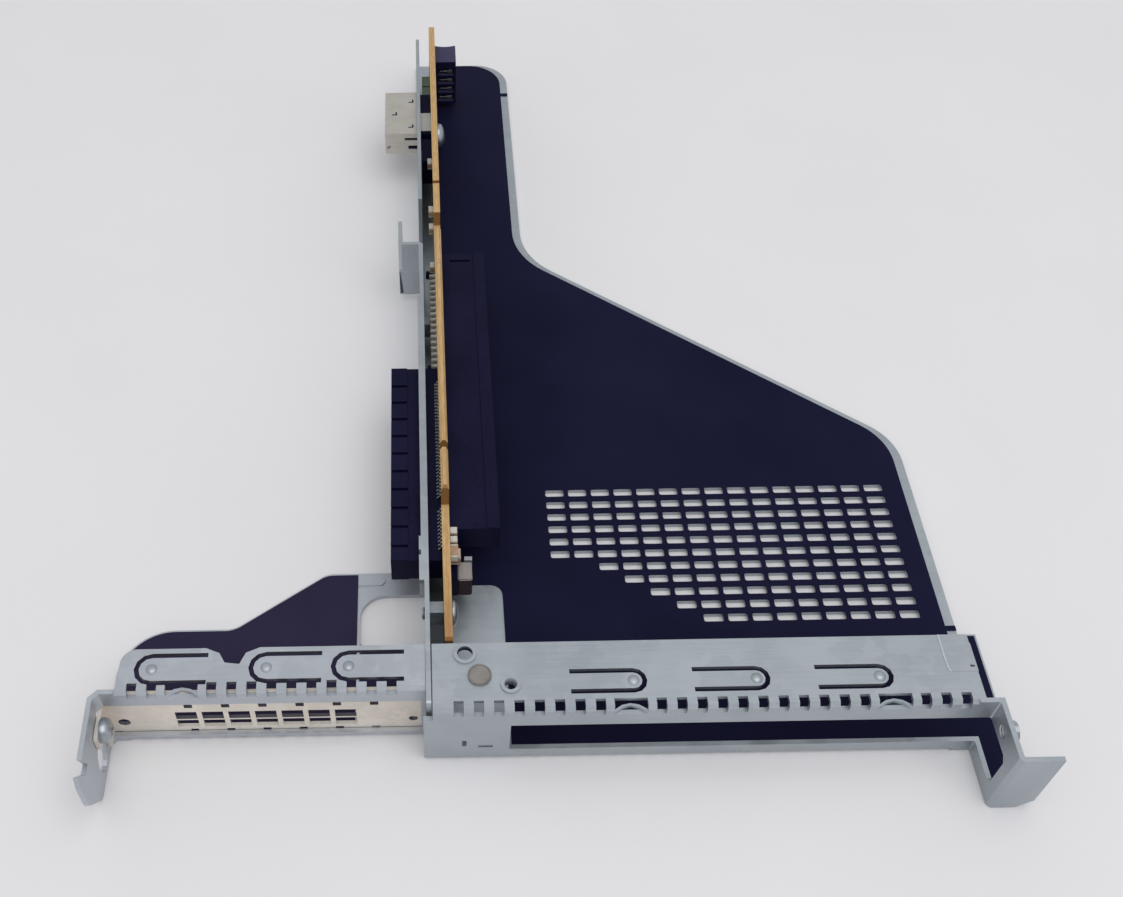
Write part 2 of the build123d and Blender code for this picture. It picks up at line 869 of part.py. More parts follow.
full_housing = slot_housing(full_slot_start, full_slot_length, full_slot_collar)
full_slot_top = board_right + slot_body_height
latch_y = full_slot_end - 2.8
latch_slot = 0.7
full_housing -= block(
    (board_right + slot_lead, full_slot_top - 3.6),
    middle_of(latch_y, latch_slot),
    (slot_high - 1.6, slot_high + 1),
)
for spot in peg_spots:
    full_housing += along_x(Pos(*spot) * disc(peg_radius, hidden_sides), board_left - peg_reach, board_right)
write(full_housing, "x16_slot_housing")
write(group(slot_contacts(full_slot_start, full_slot_length)), "x16_contacts")

# The low-profile slot is turned over on the board's left face and hollow over the other's tails
flip = Pos(0, 0, 2 * slot_z) * Rot(0, 180, 0)
low_housing = flip * slot_housing(low_slot_start, low_slot_length, low_slot_collar)
low_slot_top = board_left - slot_body_height
relief = tail_length + 1.0
relief_wall = 0.9
low_housing -= block(
    (board_left - relief, board_left + 1),
    (full_slot_start + relief_wall, low_slot_end + 1),
    (slot_low + relief_wall, slot_high - relief_wall),
)
grip_first = 3.7
grip_pitch = 5.2
grip_width = 0.8
grip_depth = 0.7
for index in range(10):
    y = low_slot_start + grip_first + index * grip_pitch
    for low, high in ((slot_low - 1, slot_low + grip_depth), (slot_high - grip_depth, slot_high + 1)):
        low_housing -= block(
            (low_slot_top - 1, low_slot_top + low_slot_collar),
            middle_of(y, grip_width),
            (low, high),
        )
write(low_housing, "x8_slot_housing")
low_blades = slot_contacts(low_slot_start, low_slot_length)
write(group(flip * blade for blade in low_blades), "x8_contacts")

# Tails of the full-height slot stand out of the board's left face; the other slot has flat feet
tails = []
tail_span = (board_left - tail_length, board_left)
for y in contact_places(full_slot_start, full_slot_length):
    for z in middle_of(slot_z, tail_spread):
        tails.append(block(tail_span, middle_of(y, tail_width), middle_of(z, tail_width)))
write(group(tails), "x16_solder_tails")
feet = []
foot_length = 1.4
foot_edge = slot_high - slot_shoulder
foot_span = (board_left - contact_thick, board_left)
for y in contact_places(low_slot_start, low_slot_length):
    feet.append(block(foot_span, middle_of(y, contact_width), (foot_edge, foot_edge + foot_length)))
write(group(feet), "x8_solder_feet")

# Shielded socket: folded shell around a moulded insert with a centre tongue
socket_left = board_left - socket_depth
shell_right = wall_inner - fit / 2
shell = block((socket_left, shell_right), (socket_start, socket_end), (socket_low, socket_high))
shell += block(
    (shell_right, board_left),
    (socket_start + 1.2, socket_start + 9.6),
    (socket_high - socket_wall, socket_high),
)
shell -= block(
    (socket_left - 1, shell_right + 1),
    (socket_start + socket_wall, socket_end - socket_wall),
    (socket_low + socket_wall, socket_high - socket_wall),
)
shell_face = (socket_start - 1, socket_start + 2 * socket_wall)
shell -= block((-8.5, shell_right + 1), shell_face, (15.7, 16.5))
shell -= block((-7.5, shell_right + 1), shell_face, (12.6, 13.8))
shell -= along_y(Pos(-13.1, 13.3) * disc(0.65, hidden_sides), *shell_face)
write(shell, "shielded_socket_shell")
insert_gap = socket_wall + fit
insert_depth = 3.0
insert_tongue = 0.7
socket_middle = socket_low + socket_height / 2
insert = block(
    (shell_right - insert_depth, board_left),
    (socket_start + insert_gap, socket_end - insert_gap),
    (socket_low + insert_gap, socket_high - insert_gap),
)
insert += block(
    (socket_left + 1.0, shell_right - insert_depth),
    (socket_start + 2.5, socket_end - 2.5),
    (socket_middle - insert_tongue, socket_middle + insert_tongue),
)
write(insert, "shielded_socket_insert")

# Header at the board's far end, its chambers open towards the rear wall
header_end = header_start + header_length
header_right = board_right + header_depth
header_middle = (board_right + header_right) / 2
header = block((board_right, header_right), (header_start, header_end), (header_bottom, header_top))
scoop = 8.0
scoop_depth = 0.5
header -= along_z(
    Pos(header_middle, header_end + scoop - scoop_depth) * Circle(scoop),
    header_bottom - 1,
    header_top + 1,
)
chamber_depth = 6.0
chamber_half = 1.1
pin_half = 0.4
header_pins = []
for index in range(4):
    z = header_bottom + 2.1 + index * header_pitch
    header -= block(
        (board_right + 1.0, header_right - 0.6),
        (header_start - 1, header_start + chamber_depth),
        (z - chamber_half, z + chamber_half),
    )
    header_pins.append(
        block(
            (header_right - 2.0, header_right - 1.2),
            (header_start + 0.5, header_start + chamber_depth),
            (z - pin_half, z + pin_half),
        )
    )
write(header, "header_housing")
write(group(header_pins), "header_contacts")

# Small parts: Y and Z limits on the right face, then on the left face in the gap to the wall


def parts_on_board(face, rise, places):
    """Blocks standing on one face of the board, given by their Y and Z limits."""
    low, high = sorted((face, face + rise))
    return group(block((low, high), span_y, span_z) for span_y, span_z in places)


capacitor_places = (
    ((36.2, 38.0), (15.2, 18.6)),
    ((38.8, 40.6), (15.2, 18.6)),
    ((41.4, 43.2), (15.2, 18.6)),
    ((43.9, 45.3), (13.6, 16.8)),
)
write(parts_on_board(board_right, 2.3, capacitor_places), "ceramic_capacitors")
resistor_places = (
    ((128.8, 130.9), (17.0, 19.0)),
    ((143.9, 146.1), (17.0, 19.0)),
    ((150.8, 153.2), (17.0, 19.0)),
    ((170.8, 173.2), (17.4, 19.4)),
)
write(parts_on_board(board_left, -1.3, resistor_places), "resistor_packs")
write(parts_on_board(board_left, -2.65, (((175.0, 185.0), (9.0, 17.0)),)), "filter_choke")
film_capacitor_places = (((207.4, 211.6), (9.0, 16.0)), ((212.2, 217.0), (9.0, 16.0)))
write(parts_on_board(board_left, -2.35, film_capacitor_places), "bulk_capacitors")
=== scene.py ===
# %% [markdown]
# # A riser card in its sheet-metal cage
# A riser holds expansion cards flat inside a low server. Folded galvanised steel carries an
# upright circuit board with one card slot on each face. The steel, the board and the sockets
# come from the CAD model, so every piece made here only adds what the eye wants: finishes,
# gold contacts, solder, screw recesses and the perforated film. Lengths are written in
# millimetres, and one factor turns them into Blender's metres.

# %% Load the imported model
import math
import bmesh
import bpy
from mathutils import Matrix, Vector


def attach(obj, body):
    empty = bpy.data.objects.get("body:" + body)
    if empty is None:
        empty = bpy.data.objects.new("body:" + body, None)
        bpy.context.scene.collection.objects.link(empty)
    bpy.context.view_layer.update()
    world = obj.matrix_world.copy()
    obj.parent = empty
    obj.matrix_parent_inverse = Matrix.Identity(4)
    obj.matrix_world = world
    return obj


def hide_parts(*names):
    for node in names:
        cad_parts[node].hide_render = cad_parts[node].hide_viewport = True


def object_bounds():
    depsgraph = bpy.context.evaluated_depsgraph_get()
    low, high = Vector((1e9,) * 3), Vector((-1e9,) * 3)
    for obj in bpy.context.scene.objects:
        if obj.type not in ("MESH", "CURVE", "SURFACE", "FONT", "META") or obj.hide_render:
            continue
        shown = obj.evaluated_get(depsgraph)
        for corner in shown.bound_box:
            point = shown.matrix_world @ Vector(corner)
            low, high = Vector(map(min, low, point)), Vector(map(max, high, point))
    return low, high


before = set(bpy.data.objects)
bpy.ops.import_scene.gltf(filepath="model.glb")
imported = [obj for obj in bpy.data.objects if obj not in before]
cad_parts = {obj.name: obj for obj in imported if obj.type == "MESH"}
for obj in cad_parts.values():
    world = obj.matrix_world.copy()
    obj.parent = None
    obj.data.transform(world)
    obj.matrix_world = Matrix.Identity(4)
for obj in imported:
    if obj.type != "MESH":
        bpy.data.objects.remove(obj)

cad_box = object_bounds()
mm = 0.001
print("CAD box in mm", [[round(value / mm, 1) for value in corner] for corner in cad_box])

# %% [markdown]
# ## The camera
# The photograph looks down at the cage from behind the rear wall. A camera could be aimed at
# a target, but over a plan it is described best by where it stands, how far it tips from
# straight down and how much it rolls. Two of its axes are turned by the tip, and then both
# by the roll.

# %% Work out which way the camera looks
camera_place = Vector((-4.2, -121.7, 250.0)) * mm
camera_tip = math.radians(39.4)
camera_roll = math.radians(1.01)

forward = Vector((0, math.sin(camera_tip), -math.cos(camera_tip)))
upward = Vector((0, math.cos(camera_tip), math.sin(camera_tip)))
sideways = Vector((1, 0, 0))
right = math.cos(camera_roll) * sideways - math.sin(camera_roll) * upward
up = math.sin(camera_roll) * sideways + math.cos(camera_roll) * upward
print("looking along", [round(value, 3) for value in forward])

# %% [markdown]
# ## The lens
# A lens length is the focal length in pixels, times the sensor's width over the picture's.
# The object sits left of the picture's middle, so the frame is shifted instead of turning
# the camera, which would bend the verticals.

# %% Stand the camera where the photograph was taken
photo_width = 1123
focal_pixels = 1300
sensor_width = 36
frame_shift = 0.1215

camera = bpy.data.objects.new("camera", bpy.data.cameras.new("camera"))
bpy.context.scene.collection.objects.link(camera)
turn = Matrix((right, up, -forward)).transposed()
camera.matrix_world = Matrix.Translation(camera_place) @ turn.to_4x4()
camera.data.sensor_width = sensor_width
camera.data.lens = focal_pixels / photo_width * sensor_width
camera.data.shift_x = frame_shift
camera.data.clip_start = 0.01
bpy.context.scene.camera = camera
print("lens", round(camera.data.lens, 2), "mm")

# %% [markdown]
# ## Sums on shader sockets
# A finish is a sum of patterns: a little noise, a mask along an edge, two colours blended.
# Node trees hide that, so one small class wraps an output and turns plain arithmetic into
# Math nodes. Numbers on either side work, which is why each sum has its twin. A comparison
# gives 1 where it holds and 0 elsewhere, so masks are multiplied to join them.


# %% An output that does sums
class Wire:
    """One output of a shader node; arithmetic on it adds Math nodes."""

    def __init__(self, finish, socket):
        self.finish = finish
        self.socket = socket

    def sum(self, operation, first, second):
        return self.finish.node("ShaderNodeMath", {"operation": operation}, {0: first, 1: second})

    def __add__(self, other):
        return self.sum("ADD", self, other)

    def __radd__(self, other):
        return self.sum("ADD", other, self)

    def __sub__(self, other):
        return self.sum("SUBTRACT", self, other)

    def __rsub__(self, other):
        return self.sum("SUBTRACT", other, self)

    def __mul__(self, other):
        return self.sum("MULTIPLY", self, other)

    def __rmul__(self, other):
        return self.sum("MULTIPLY", other, self)

    def __gt__(self, other):
        return self.sum("GREATER_THAN", self, other)

    def __lt__(self, other):
        return self.sum("LESS_THAN", self, other)

    def __abs__(self):
        return self.sum("ABSOLUTE", self, 0.0)


# %% [markdown]
# ## One shader and any node
# Every material here starts from one Principled shader. Values that are the same all over
# are set on the shader's own sockets. Everything else is a node, and one method adds any
# kind: it takes the node's type, its settings, and a value or a Wire for each input.


# %% A material that takes any node
class Ground:
    """A material with one shader; node() adds any other node."""

    def __init__(self, name, **constants):
        self.material = bpy.data.materials.new(name)
        self.material.use_nodes = True
        self.tree = self.material.node_tree
        self.tree.nodes.clear()
        self.shader = self.tree.nodes.new("ShaderNodeBsdfPrincipled")
        surface = self.tree.nodes.new("ShaderNodeOutputMaterial")
        self.tree.links.new(self.shader.outputs[0], surface.inputs["Surface"])
        for socket, value in constants.items():
            self.shader.inputs[socket.replace("_", " ")].default_value = value

    def feed(self, socket, value):
        """A Wire is linked to a socket, and anything else is set on it."""
        if isinstance(value, Wire):
            self.tree.links.new(value.socket, socket)
        else:
            socket.default_value = value

    def node(self, kind, settings=None, inputs=None, output=0):
        made = self.tree.nodes.new(kind)
        for name, value in (settings or {}).items():
            setattr(made, name, value)
        for name, value in (inputs or {}).items():
            self.feed(made.inputs[name], value)
        return Wire(self, made.outputs[output])


# %% [markdown]
# ## Where a pattern lies
# Patterns could follow an unwrapped map of the surface, but a CAD part has none. They are
# laid out in the object's own coordinates instead, in metres, so a noise scale of 1000
# means a pattern of about a millimetre. Stretching those coordinates turns a noise into
# streaks, and the normal tells which way a face looks.


# %% Places, directions and noise
class Patterned(Ground):
    """A material that knows where its points lie and how its faces look."""

    def place(self):
        return self.node("ShaderNodeTexCoord", output="Object")

    def facing(self, axis):
        """How far a face looks along an axis of the object, from -1 to 1."""
        normal = self.node("ShaderNodeTexCoord", output="Normal")
        return self.node("ShaderNodeSeparateXYZ", inputs={0: normal}, output=axis)

    def along(self, axis):
        return self.node("ShaderNodeSeparateXYZ", inputs={0: self.place()}, output=axis)

    def stretched(self, x, y, z):
        """The object's coordinates, scaled along each axis."""
        inputs = {0: self.place(), 1: (x, y, z)}
        return self.node("ShaderNodeVectorMath", {"operation": "MULTIPLY"}, inputs)

    def noise(self, scale, detail=3.0, where=None):
        inputs = {"Vector": where or self.place(), "Scale": scale, "Detail": detail}
        return self.node("ShaderNodeTexNoise", inputs=inputs)


# %% [markdown]
# ## What reaches the shader
# Only colour, roughness and a small bump vary over a surface here. Two colours are blended
# by a share between 0 and 1, and an eased step keeps the border between them soft. The bump
# bends the light as fine relief would, without any added geometry.


# %% Blend, ease and bump
class Finish(Patterned):
    """A finish: blended colours, a roughness and a fine relief."""

    def blend(self, share, first, second):
        """Two colours mixed by a share."""
        return self.node("ShaderNodeMix", {"data_type": "RGBA"}, {0: share, 6: first, 7: second}, 2)

    def ease(self, value, low, high):
        """0 below low, 1 above high and smooth between them."""
        inputs = {"Value": value, "From Min": low, "From Max": high}
        return self.node("ShaderNodeMapRange", {"interpolation_type": "SMOOTHSTEP"}, inputs)

    def colour(self, value):
        self.feed(self.shader.inputs["Base Color"], value)

    def rough(self, value):
        self.feed(self.shader.inputs["Roughness"], value)

    def bump(self, height, strength, distance):
        inputs = {"Height": height, "Strength": strength, "Distance": distance}
        self.feed(self.shader.inputs["Normal"], self.node("ShaderNodeBump", inputs=inputs))


# %% [markdown]
# ## Paint and dressing
# A colour is easiest to judge as it looks on a screen, from 0 to 255, but light adds up on
# another scale. One function turns the first into the second. Another puts a finish on
# pieces that the CAD model brought, in place of their plain one.


# %% Colours as they look, and pieces to wear them
def paint(red, green, blue):
    """A colour read as it looks on a screen, turned into light."""
    levels = [value / 255 for value in (red, green, blue)]
    return tuple(((v + 0.055) / 1.055) ** 2.4 if v > 0.04 else v / 12.92 for v in levels) + (1.0,)


def dress(finish, *names):
    """Give CAD nodes a finish in place of their plain one."""
    for name in names:
        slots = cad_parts[name].data.materials
        slots.clear()
        slots.append(finish.material)
    print(finish.material.name, "on", ", ".join(names))


print("a mid grey is", [round(value, 3) for value in paint(128, 128, 128)])

# %% [markdown]
# ## Galvanised sheet
# Zinc sets in flat crystals, so the sheet has a spangle: patches a few millimetres wide,
# each a little lighter or darker than the next. Rolling adds fine streaks along the sheet.
# A picture of real zinc would repeat itself over a part this long. A Voronoi pattern gives
# each crystal its own value instead, and a stretched noise gives the streaks. Punching leaves
# bare steel on the cut edges, and a function that finds them can be passed in to paint them
# dark, partly as that steel and partly as painted shade inside the slots.


# %% Zinc with its spangle
# The cut edges' dark colour: bare steel, deepened as painted shade inside slots and vents.
cut_edge_shade = paint(68, 71, 84)


def crystals_of(finish, spangle):
    """One value for each zinc crystal, with wavering borders."""
    inputs = {"Vector": finish.place(), "Scale": 420.0}
    stir = finish.node("ShaderNodeTexNoise", inputs=inputs, output="Color")
    inputs = {0: stir, 1: (0.004, 0.004, 0.004), 2: finish.place()}
    wavering = finish.node("ShaderNodeVectorMath", {"operation": "MULTIPLY_ADD"}, inputs)
    inputs = {"Vector": wavering, "Scale": spangle}
    crystals = finish.node("ShaderNodeTexVoronoi", {"feature": "F1"}, inputs, "Color")
    return finish.node("ShaderNodeSeparateColor", inputs={0: crystals})


def zinc(name, light, dark, roughness, spangle=260.0, streak=0.35, metallic=0.85, is_shaded_cut=None):
    finish = Finish(name, Metallic=metallic)
    crystal = crystals_of(finish, spangle)
    streaks = finish.noise(1.0, 4.0, finish.stretched(90.0, 2600.0, 2600.0))
    cloud = finish.noise(45.0, 2.0)
    share = crystal * 0.16 + streaks * streak + cloud * (0.84 - streak)
    tone = finish.blend(finish.ease(share, 0.25, 0.75), dark, light)
    if is_shaded_cut:
        tone = finish.blend(is_shaded_cut(finish) * 0.9, tone, cut_edge_shade)
    finish.colour(tone)
    finish.rough(crystal * 0.10 + streaks * 0.12 + (roughness - 0.10))
    finish.bump(streaks * 0.6 + finish.noise(900.0, 2.0) * 0.4, 0.12, 0.0002)
    return finish


# %% [markdown]
# ## Cut edges in the flanges, darkened as painted shade
# The walls of the finger slots and of the perforations are cut steel, painted dark partly as
# bare steel and partly as painted shade inside the slots. They could be chosen face by face,
# but they are easier to tell by where they are: upright faces within a flange's thickness and
# behind its rear wall. The low-profile cage is a paler coil.


# %% Dress the three sheets
def flange_cut_shade(behind, low, high):
    """Upright faces within a flange's thickness, behind its rear wall, to be painted dark as cut
    steel and shade; limits in mm.
    """
    def is_shaded_cut(finish):
        upright = abs(finish.facing("Z")) < 0.5
        edge = (finish.along("Z") > low * mm) * (finish.along("Z") < high * mm)
        return upright * edge * (finish.along("Y") > behind * mm)
    return is_shaded_cut


sheet_tones = (paint(184, 190, 195), paint(168, 175, 181), 0.44)
low_tones = (paint(196, 200, 206), paint(181, 186, 193), 0.44)
sheet_steel = zinc("galvanised_sheet", *sheet_tones)
main_steel = zinc("galvanised_main", *sheet_tones, is_shaded_cut=flange_cut_shade(2.4, 19.1, 20.4))
low_steel = zinc("galvanised_low", *low_tones, is_shaded_cut=flange_cut_shade(7.6, 18.6, 19.9))
dress(main_steel, "main_cage")
dress(low_steel, "low_profile_cage")
dress(sheet_steel, "board_wall")

# %% [markdown]
# ## The plated slot blank
# The blank that closes the low-profile opening is a different steel: warmer, smoother and
# with faint handling marks. The same recipe works with beige tones and a smaller spangle.
# The walls of its vents are the faces between its two ends that don't look along Y; they are
# painted dark, as cut steel and as painted shade inside the vents.


# %% Dress the blank
# The vent walls are painted dark as shade.
def blank_vent_shade(finish):
    walls = abs(finish.facing("Y")) < 0.5
    rows = (finish.along("Z") > 4.2 * mm) * (finish.along("Z") < 15.2 * mm)
    return walls * rows * (finish.along("X") > -69.0 * mm) * (finish.along("X") < -6.0 * mm)


blank_tones = (paint(240, 232, 221), paint(216, 207, 196), 0.42)
blank_steel = zinc(
    "plated_blank", *blank_tones, spangle=500.0, streak=0.2, metallic=0.5, is_shaded_cut=blank_vent_shade
)
dress(blank_steel, "slot_blank")

# %% [markdown]
# ## Insulating film
# A dark polyester film lies inside the plates so that a card can never touch the steel. It is
# nearly black with a blue cast and half matt, and its embossed grain is so fine that a bump
# shows it better than geometry could. The side film is a little browner and paler.


# %% Film with a fine grain
def dark_film(name, tone, lift):
    finish = Finish(name, Specular_IOR_Level=0.06)
    cloud = finish.noise(30.0, 3.0)
    grain = finish.noise(2400.0, 2.0)
    finish.colour(finish.blend(finish.ease(cloud * 0.7 + grain * 0.3, 0.3, 0.7), tone, lift))
    finish.rough(0.46 + grain * 0.16)
    finish.bump(grain, 0.10, 0.0001)
    return finish


cover_film = dark_film("cover_film", paint(18, 18, 45), paint(26, 26, 54))
side_film = dark_film("side_film", paint(42, 37, 62), paint(52, 47, 72))
dress(cover_film, "main_insulator_film")
dress(side_film, "side_insulator_film")

# %% [markdown]
# ## The circuit board
# From above only the cut edge shows, but from the side the masked faces do. Each could be a
# material of its own. The normal already tells which face is seen, so one material carries
# all of it: 1 on the two wide faces, and another mask for the routed ends.

# %% Tell the board's faces from its edges
board_finish = Finish("circuit_board")
side = board_finish.ease(abs(board_finish.facing("X")), 0.93, 0.98)
ends = board_finish.ease(abs(board_finish.facing("Y")), 0.4, 0.8)
print("two masks made with", len(board_finish.tree.nodes), "nodes")

# %% [markdown]
# ## Laminate on the cut edge
# The edge is sand-coloured glass laminate, with the board's layers as thin lines inside it.
# Both are noises stretched along the board. The end near the rear wall is darker,
# and the routed ends are browner still.

# %% Stack the layers of the edge
fibres = board_finish.noise(1.0, 4.0, board_finish.stretched(3500.0, 350.0, 1800.0))
layers = board_finish.noise(1.0, 1.0, board_finish.stretched(2600.0, 8.0, 8.0))
sand = board_finish.ease(fibres * 0.6 + layers * 0.4, 0.3, 0.7)
laminate = board_finish.blend(sand, paint(176, 138, 88), paint(212, 174, 120))
near_end = board_finish.ease(board_finish.along("Y"), 0.036, 0.018)
darker_near_wall = board_finish.blend(near_end * 0.6, laminate, paint(150, 104, 52))
cut_edge = board_finish.blend(ends, darker_near_wall, paint(140, 96, 44))
print("the edge brings them to", len(board_finish.tree.nodes))

# %% [markdown]
# ## Solder mask over tracks
# The wide faces wear green solder mask, and the copper tracks under it show as paler, raised
# lines. Drawing each track would be endless. Wavy bands across the board look the same at
# this size. The mask is also glossier than the bare edge.

# %% Mask the faces and dress the board
bands = {"wave_type": "BANDS", "bands_direction": "Z"}
waves = {
    "Vector": board_finish.place(), "Scale": 330.0, "Distortion": 9.0,
    "Detail": 1.0, "Detail Scale": 0.25,
}
track = board_finish.ease(board_finish.node("ShaderNodeTexWave", bands, waves, "Fac"), 0.62, 0.72)
mask_green = board_finish.blend(track * 0.55, paint(22, 74, 46), paint(44, 110, 68))
board_finish.colour(board_finish.blend(side, cut_edge, mask_green))
board_finish.rough(0.62 - side * 0.32)
board_finish.bump(track * side + fibres * (1.0 - side) * 0.4, 0.25, 0.00008)
dress(board_finish, "riser_board")

# %% [markdown]
# ## Moulded plastic
# Slots, header and socket insert are glass-filled plastic, almost black. Moulding leaves it
# satin with a fine texture, for which a fine noise in the bump is enough. The header's top is
# painted duller and paler than its sides, as light falling on it from above, and the normal
# tells which is which.


# %% Satin black plastic
def moulding(name, tone, lift, roughness, gloss=0.08, lit_top=None):
    finish = Finish(name, Specular_IOR_Level=gloss)
    grain = finish.noise(1500.0, 3.0)
    flow = finish.noise(60.0, 2.0)
    body = finish.blend(finish.ease(flow * 0.6 + grain * 0.4, 0.3, 0.7), tone, lift)
    if lit_top:
        body = finish.blend(finish.ease(finish.facing("Z"), 0.5, 0.8), body, lit_top)
    finish.colour(body)
    finish.rough(roughness - 0.06 + grain * 0.12)
    finish.bump(grain, 0.12, 0.0001)
    return finish


black = (paint(17, 16, 44), paint(26, 25, 55))
slot_plastic = moulding("slot_plastic", *black, 0.48)
# The header's paler top is painted light from above.
header_plastic = moulding("header_plastic", *black, 0.5, lit_top=paint(72, 69, 96))
part_plastic = moulding("capacitor_body", paint(96, 108, 88), paint(122, 134, 110), 0.42, 0.4)
dress(slot_plastic, "x16_slot_housing", "x8_slot_housing", "shielded_socket_insert")
dress(header_plastic, "header_housing")
dress(slot_plastic, "filter_choke")
dress(part_plastic, "bulk_capacitors")

# %% [markdown]
# ## Bright metals
# Gold-plated contacts, tinned leads, zinc screws and the nickel socket shell are all
# smooth metals with a drawn grain. Each could be mixed by hand, but one recipe with two
# tones and a roughness covers them and keeps them alike under the lamp.


# %% Drawn metal
def bright_metal(name, light, dark, roughness, metallic=1.0):
    finish = Finish(name, Metallic=metallic)
    drawn = finish.noise(1.0, 3.0, finish.stretched(400.0, 2200.0, 900.0))
    cloud = finish.noise(220.0, 2.0)
    finish.colour(finish.blend(finish.ease(drawn * 0.5 + cloud * 0.5, 0.3, 0.7), dark, light))
    finish.rough(roughness - 0.05 + drawn * 0.12)
    finish.bump(drawn, 0.10, 0.0001)
    return finish


gold = bright_metal("gold_plate", paint(236, 200, 122), paint(214, 172, 94), 0.34, 0.6)
solder = bright_metal("tinned_lead", paint(196, 197, 197), paint(164, 166, 168), 0.34)
screw_zinc = bright_metal("zinc_screw", paint(190, 195, 199), paint(160, 166, 171), 0.36)
rivet_face = bright_metal("struck_rivet", paint(162, 157, 152), paint(140, 135, 130), 0.5)
shell_nickel = bright_metal("nickel_shell", paint(214, 209, 200), paint(202, 196, 187), 0.42)
# Pale zinc as a painted highlight, for the lap's edge where it catches the light.
highlight_zinc = bright_metal("highlight_zinc", paint(204, 208, 213), paint(192, 197, 203), 0.4, 0.5)
# Steel painted dark as shade, for thin plates that stand where there is only shadow.
shaded_steel = bright_metal("shaded_steel", paint(74, 76, 92), paint(58, 60, 78), 0.6, 0.3)

# %% Dress what is metal
dress(gold, "x16_contacts", "x8_contacts")
dress(solder, "x16_solder_tails", "x8_solder_feet", "header_contacts")
dress(screw_zinc, "board_screws", "blank_screw", "board_standoffs")
dress(rivet_face, "flange_rivet", "bridge_rivet")
dress(shell_nickel, "shielded_socket_shell")

# %% [markdown]
# ## Ceramic parts
# Small chip parts have a brown fired body between two cream ends of fired silver and tin.
# Their slight speckle is a fine noise, so the moulding recipe serves for them as well, with
# more gloss.

# %% Fired ceramic and fired ends
ceramic = moulding("fired_ceramic", paint(158, 122, 96), paint(184, 150, 122), 0.40, 0.3)
fired_end = moulding("fired_end", paint(192, 187, 178), paint(214, 209, 200), 0.40, 0.4)
dress(ceramic, "ceramic_capacitors", "resistor_packs")

# %% [markdown]
# ## A piece that rides on the cage
# A new piece is collected in a bmesh, made into an object that rides on the frame's one
# body, and given its finish's material. Blender's own tools could add each object, but they
# depend on what is selected, and a bmesh doesn't.


# %% Make a piece
def piece(name, shape, finish):
    mesh = bpy.data.meshes.new(name)
    bmesh.ops.recalc_face_normals(shape, faces=shape.faces)
    shape.to_mesh(mesh)
    shape.free()
    made = bpy.data.objects.new(name, mesh)
    bpy.context.scene.collection.objects.link(made)
    mesh.materials.append(finish.material)
    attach(made, "root")
    print(name, len(mesh.polygons), "faces")
    return made


# %% [markdown]
# ## Blocks and extruded outlines
# Sheet parts and contacts are outlines given a thickness. An outline is drawn twice, at two
# places that two small functions work out, and the two are joined by a wall of quads. The
# same wall joins the rings of turned shapes further on.


# %% Blocks, walls, prisms and flats
def add_block(shape, x, y, z):
    """A box between limits in millimetres."""
    low = Vector((x[0], y[0], z[0])) * mm
    high = Vector((x[1], y[1], z[1])) * mm
    place = Matrix.Translation((low + high) / 2) @ Matrix.Diagonal((*(high - low), 1.0))
    bmesh.ops.create_cube(shape, size=1.0, matrix=place)


def join_rings(shape, rings):
    """Quads from each closed ring of points to the next."""
    for first, second in zip(rings, rings[1:]):
        for i in range(len(first)):
            j = (i + 1) % len(first)
            shape.faces.new((first[i], first[j], second[j], second[i]))


def add_prism(shape, outline, first, second):
    """A closed outline carried from one place to another; both are functions of its points."""
    rings = [[shape.verts.new(place(*point)) for point in outline] for place in (first, second)]
    for ring in rings:
        shape.faces.new(ring)
    join_rings(shape, rings)


def add_flat(shape, outline, low, high):
    """A level plate from its outline in X and Y."""
    add_prism(
        shape,
        outline,
        lambda x, y: Vector((x, y, low)) * mm,
        lambda x, y: Vector((x, y, high)) * mm,
    )


# %% [markdown]
# ## One slot of the vent film
# Over the plate's vents the film is punched as well, with small rounded corners, so no bright
# rim of steel shows. A boolean for each of the 145 slots would be slow. One cell is drawn
# instead: a ring of points round the slot, and a ring round the cell with as many.

# %% Draw one slot and its cell
pitch_x, pitch_y = 5.47, 3.56
vent_half_x, vent_half_y = 2.2, 1.03
vent_corner = 0.45


def rounded_slot():
    """Points round one slot, and round its cell at the same places, from its centre."""
    slot, cell = [], []
    edge_x, edge_y = pitch_x / 2, pitch_y / 2
    arc_x, arc_y = vent_half_x - vent_corner, vent_half_y - vent_corner
    between_x, between_y = (arc_x + edge_x) / 2, (arc_y + edge_y) / 2
    cell_corner = (
        (edge_x, arc_y), (edge_x, between_y), (edge_x, edge_y),
        (between_x, edge_y), (arc_x, edge_y),
    )
    for x_sign, y_sign in ((1, 1), (-1, 1), (-1, -1), (1, -1)):
        corner = []
        for step, (far_x, far_y) in enumerate(cell_corner):
            angle = math.radians(step * 22.5)
            near_x = arc_x + vent_corner * math.cos(angle)
            near_y = arc_y + vent_corner * math.sin(angle)
            near = (near_x * x_sign, near_y * y_sign)
            corner.append((near, (far_x * x_sign, far_y * y_sign)))
        for near, far in corner if x_sign == y_sign else reversed(corner):
            slot.append(near)
            cell.append(far)
    return slot, cell


slot_ring, cell_ring = rounded_slot()
print(len(slot_ring), "points round a slot and", len(cell_ring), "round its cell")

# %% [markdown]
# ## The whole vent film
# Cells meet edge to edge in eleven rows. The upper rows are full, and below them each row
# starts one slot further in, so the field follows the plate's slope. A thin strip along each
# row's edges closes the stepped ends.

# %% Punch the film cell by cell
vent_x, vent_y = 26.7, 32.4
film_low, film_high = 1.0, 1.26
rows, columns, stepped_rows = 11, 15, 5
strip_half = 0.22
strip_span = (film_low, film_high - 0.005)

